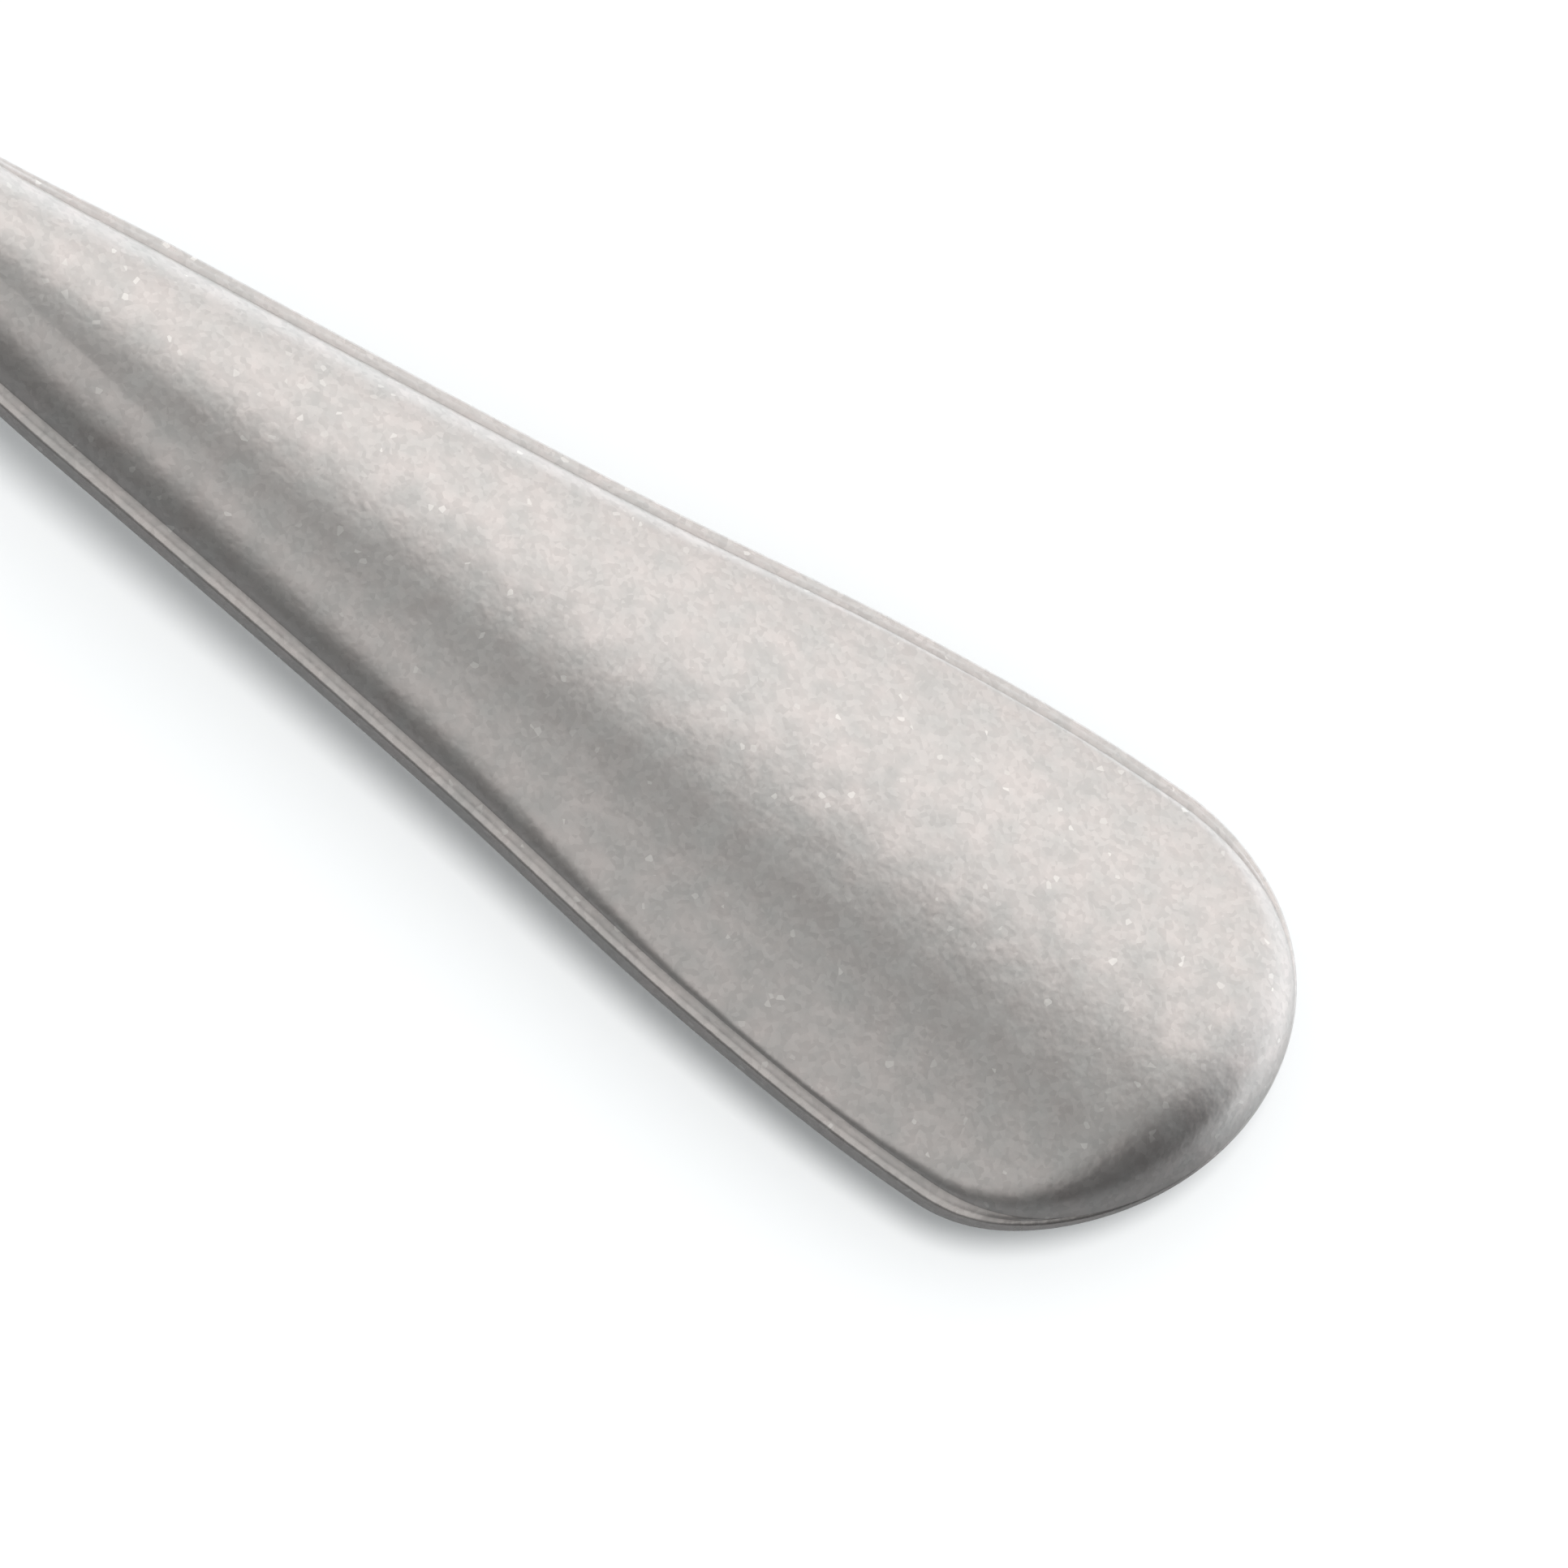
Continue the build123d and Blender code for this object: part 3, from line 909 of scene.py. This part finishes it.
# ---------------- ferrules and pins
class SPATULA_OT_ferrules(bpy.types.Operator):
    """Turns the two ferrules and drills them for their pins"""

    bl_idname = "mesh.spatula_ferrules_add"
    bl_label = "Ferrules"

    def execute(self, context):
        ferrule, tip = context.scene.spatula_ferrule, context.scene.spatula_tip
        handle = context.scene.spatula_handle
        steel = turned_steel("turned_ferrule_steel", ferrule.steel)
        face, nose, radius = HANDLE_HIGH.x, FERRULE_HIGH.x, FERRULE_HIGH.y
        groove = (face + ferrule.band, face + ferrule.band + ferrule.groove)
        taper = (face + ferrule.barrel, radius)
        fall = 2 * atan((radius - ferrule.nose_r) / (nose - taper[0]))
        centre = (nose - ferrule.nose_round, ferrule.nose_r - ferrule.nose_round * tan(pi / 4 - fall / 2))
        edge = arc(centre, ferrule.nose_round, 90 - degrees(fall), 0, steps=6)
        groove_dirt_and_shade = 0.6
        outline = [
            (FERRULE_LOW.x, tip.shank_r),
            (FERRULE_LOW.x, handle.bore_r),
            (face, handle.bore_r),
            (face, radius),
            (groove[0], radius),
            (groove[0], radius - ferrule.groove_depth),
            (groove[1], radius - ferrule.groove_depth),
            (groove[1], radius),
        ]
        outline += tangent_arc(taper, 0, edge[0], steps=24) + edge[1:] + [(nose, tip.shank_r)]
        for end, side in ENDS.items():
            piece = turn(f"turned_{end}_ferrule", outline, side, steps=128, closed=True)
            break_edges(piece, ferrule.edge)
            drill(piece, side, PIN_R + ferrule.pin_gap)
            dirt = []
            for vertex in piece.data.vertices:
                x, r = abs(vertex.co.x), hypot(vertex.co.y, vertex.co.z - AXIS_Z)
                in_groove = groove[0] - SLACK < x < groove[1] + SLACK and r < radius - ferrule.edge
                # The groove is painted darker: painted shade with grime
                dirt.append(groove_dirt_and_shade if in_groove else 0.0)
            paint(piece, "dirt", dirt)
            shade(piece, limit=30)
            stand_in(piece, f"{end}_ferrule", steel)
        return {"FINISHED"}


class SPATULA_OT_pins(bpy.types.Operator):
    """Models the two cross pins, with ends ground to the barrel's round"""

    bl_idname = "mesh.spatula_pins_add"
    bl_label = "Cross pins"

    def execute(self, context):
        steel = ground_pin_steel("ground_pin_steel", context.scene.spatula_ferrule.pin_steel)
        radius = FERRULE_HIGH.y
        dome = 0.02 * MM
        insets = 4
        for end, side in ENDS.items():
            piece = cross_rod(side, PIN_R, 2 * radius)
            piece.name = f"ground_{end}_pin"
            bpy.ops.object.transform_apply(location=True, rotation=True, scale=True)
            edit(piece)
            for _ in range(insets):
                pick(piece, "faces", lambda face: len(face.verts) > 4)
                bpy.ops.mesh.inset(thickness=PIN_R / (insets + 1.5))
            bpy.ops.object.mode_set(mode="OBJECT")
            for vertex in piece.data.vertices:
                x, y, z = vertex.co.x - side * PIN_X, vertex.co.y, vertex.co.z - AXIS_Z
                crown = dome * (1 - (hypot(x, z) / PIN_R) ** 2)
                vertex.co.y = (sqrt(radius * radius - z * z) + crown - dome) * (1 if y > 0 else -1)
            break_edges(piece, 0.03 * MM)
            shade(piece, limit=30)
            stand_in(piece, f"{end}_cross_pin", steel)
        return {"FINISHED"}


# ---------------- stage
# Light of the room as the steel sees it, from the near side (-Y, -1) to the far side (+Y, 1), and its warmth
ROOM = [
    (-1.0, 0.14, 0.6),
    (-0.8, 0.18, 0.6),
    (-0.66, 0.62, 1.0),
    (-0.2, 0.62, 0.8),
    (-0.08, 0.24, 0.0),
    (0.2, 0.24, 0.0),
    (0.33, 1.06, 1.0),
    (0.75, 1.1, 1.0),
    (1.0, 0.9, 1.0),
]
ROOM_LIGHT = 1.08  # strength of the whole room
COLD = (1.0, 1.04, 1.02)  # colour of the room's light at warmth 0
WARM = (1.0, 0.985, 0.965)  # and at warmth 1
FLAG_X = (0.4, 0.75)  # towards +X, where the dark flag starts and where it is complete
FLAG_Y = (0.2, 0.46)  # towards +Y, where it ends and where the far light is complete
FLAG_LEVELS = (0.08, 1.1)  # light from the flag and from past it
FLOOR_Y = (-1.5 * MM, 7 * MM)  # across the floor, where its painted brightness for the steel's reflections starts and stops rising
FLOOR_LEVELS = (0.22, 1.05)
FLOOR_LIGHT = (0.69, 0.72, 0.73, 1.0)  # light of the whole room on the floor
EYE_LEVEL = 1.03  # the background as the eye sees it
FLOOR_SIZE = 40
KEY_ENERGY = 1.7
KEY_SPREAD = 17  # degrees
KEY_LEAN = 8  # degrees
FOCAL_LENGTH = 200  # mm
SENSOR_WIDTH = 36  # mm
CLIP_START = 0.01


def white_paper(name, paper):
    """Matt white paper, which fades the tool's shadow softly; in the steel's reflections it is painted darker
    towards the near side, as painted shade.
    """
    material, tree, place = start_material(name)
    glossy = add_node(tree, "LightPath").outputs["Is Glossy Ray"]
    across = add_node(tree, "SeparateXYZ", {"Vector": place}).outputs["Y"]
    # Painted shade in reflections: glossy rays see the floor darker towards the near side, while the camera
    # sees it white
    reflected_floor_shade = add_node(
        tree, "MapRange",
        {
            "Value": across, "From Min": FLOOR_Y[0], "From Max": FLOOR_Y[1],
            "To Min": FLOOR_LEVELS[0], "To Max": FLOOR_LEVELS[1],
        },
    )
    seen = add_node(tree, "BsdfDiffuse", {"Color": list(paper)})
    floor_for_reflections = add_node(tree, "BsdfDiffuse", {"Color": reflected_floor_shade})
    mixed = add_node(tree, "MixShader", {0: glossy, 1: seen, 2: floor_for_reflections})
    add_node(tree, "OutputMaterial", {"Surface": mixed})
    return material


def studio_air():
    """The world: white to the eye, even light for the floor, and for the steel a room lit from one side.

    Off the tool's front end stands a dark flag, which only the light of the far side passes.
    """
    world = bpy.data.worlds.new("studio_air")
    world.use_nodes = True
    tree = world.node_tree
    tree.nodes.clear()
    rays = add_node(tree, "LightPath").outputs
    way = add_node(tree, "TexCoord").outputs["Generated"]
    ways = add_node(tree, "SeparateXYZ", {"Vector": way}).outputs
    share = add_node(tree, "MapRange", {"Value": ways["Y"], "From Min": -1.0, "From Max": 1.0})
    past_end = add_node(
        tree, "MapRange", {"Value": ways["X"], "From Min": FLAG_X[0], "From Max": FLAG_X[1]},
        interpolation_type="SMOOTHSTEP",
    )
    past_flag = add_node(
        tree, "MapRange",
        {
            "Value": ways["Y"], "From Min": FLAG_Y[0], "From Max": FLAG_Y[1],
            "To Min": FLAG_LEVELS[0], "To Max": FLAG_LEVELS[1],
        },
        interpolation_type="SMOOTHSTEP",
    )
    room = add_node(tree, "ValToRGB", {"Fac": share})
    room.color_ramp.interpolation = "EASE"
    stops = room.color_ramp.elements
    # A new ramp has two stops
    for _ in ROOM[2:]:
        stops.new(0.5)
    for stop, (lean, level, warmth) in zip(stops, ROOM):
        stop.position = (lean + 1) / 2
        stop.color = [level * mix(cold, warm, warmth) for cold, warm in zip(COLD, WARM)] + [1.0]
    flagged = add_node(tree, "Mix", {0: past_end, 6: room, 7: past_flag}, data_type="RGBA")
    steel_sees = add_node(tree, "Background", {"Color": flagged, "Strength": ROOM_LIGHT})
    floor_sees = add_node(tree, "Background", {"Color": FLOOR_LIGHT})
    eye_sees = add_node(tree, "Background", {"Color": (EYE_LEVEL, EYE_LEVEL, EYE_LEVEL, 1.0)})
    unseen = add_node(tree, "MixShader", {0: rays["Is Glossy Ray"], 1: floor_sees, 2: steel_sees})
    everything = add_node(tree, "MixShader", {0: rays["Is Camera Ray"], 1: unseen, 2: eye_sees})
    add_node(tree, "OutputWorld", {"Surface": everything})
    bpy.context.scene.world = world


class SPATULA_OT_stage(bpy.types.Operator):
    """Lays the floor, lights the tool and places the camera"""

    bl_idname = "scene.spatula_stage_add"
    bl_label = "Stage"

    def execute(self, context):
        stage, tip = context.scene.spatula_stage, context.scene.spatula_tip
        deselect()
        bpy.ops.mesh.primitive_plane_add(size=FLOOR_SIZE)
        floor = bpy.context.object
        floor.name = "white_floor"
        floor.data.materials.append(white_paper("matt_white_paper", stage.floor))
        studio_air()
        key = bpy.data.objects.new("overhead_key", bpy.data.lights.new("overhead_key", "SUN"))
        key.data.energy = KEY_ENERGY
        key.data.angle = radians(KEY_SPREAD)
        key.rotation_euler.x = radians(KEY_LEAN)
        key.visible_glossy = False
        context.scene.collection.objects.link(key)

        up_slope = Vector((0, cos(stage.view_tilt), sin(stage.view_tilt)))
        back = Vector((0, -sin(stage.view_tilt), cos(stage.view_tilt)))
        along = Vector((1, 0, 0))
        right = along * cos(stage.view_roll) + up_slope * sin(stage.view_roll)
        up = up_slope * cos(stage.view_roll) - along * sin(stage.view_roll)
        paddle_end = bent(tip, tip.paddle_length, 0, 0)
        target = paddle_end - right * stage.end_right + up * stage.end_below
        lens = bpy.data.cameras.new("studio_camera")
        lens.lens = FOCAL_LENGTH
        lens.sensor_width = SENSOR_WIDTH
        lens.clip_start = CLIP_START
        camera = bpy.data.objects.new("studio_camera", lens)
        place = target + back * (stage.view_width * FOCAL_LENGTH / SENSOR_WIDTH)
        axes = Matrix((right, up, back)).transposed().to_4x4()
        camera.matrix_world = Matrix.Translation(place) @ axes
        context.scene.collection.objects.link(camera)
        context.scene.camera = camera
        context.scene.view_settings.view_transform = "Standard"
        return {"FINISHED"}


# ---------------- the add-on
OPERATORS = (
    SPATULA_OT_tip,
    SPATULA_OT_cone,
    SPATULA_OT_handle,
    SPATULA_OT_rings,
    SPATULA_OT_ferrules,
    SPATULA_OT_pins,
    SPATULA_OT_stage,
)
SETTINGS = {
    "spatula_tip": TipSettings,
    "spatula_cone": ConeSettings,
    "spatula_handle": HandleSettings,
    "spatula_ferrule": FerruleSettings,
    "spatula_stage": StageSettings,
}


class VIEW3D_PT_spatula(bpy.types.Panel):
    """Lists the settings and the pieces"""

    bl_label = "Blending spatula"
    bl_space_type = "VIEW_3D"
    bl_region_type = "UI"
    bl_category = "Spatula"

    def draw(self, context):
        for name, group in SETTINGS.items():
            box = self.layout.box()
            for setting in group.__annotations__:
                box.prop(getattr(context.scene, name), setting)
        for operator in OPERATORS:
            self.layout.operator(operator.bl_idname)


def register():
    for group in SETTINGS.values():
        bpy.utils.register_class(group)
    for operator in OPERATORS:
        bpy.utils.register_class(operator)
    bpy.utils.register_class(VIEW3D_PT_spatula)
    for name, group in SETTINGS.items():
        setattr(bpy.types.Scene, name, bpy.props.PointerProperty(type=group))


def unregister():
    for name in SETTINGS:
        delattr(bpy.types.Scene, name)
    bpy.utils.unregister_class(VIEW3D_PT_spatula)
    for operator in reversed(OPERATORS):
        bpy.utils.unregister_class(operator)
    for group in SETTINGS.values():
        bpy.utils.unregister_class(group)


def main():
    register()
    for operator in OPERATORS:
        group, name = operator.bl_idname.split(".")
        getattr(getattr(bpy.ops, group), name)()


if __name__ == "__main__":
    main()
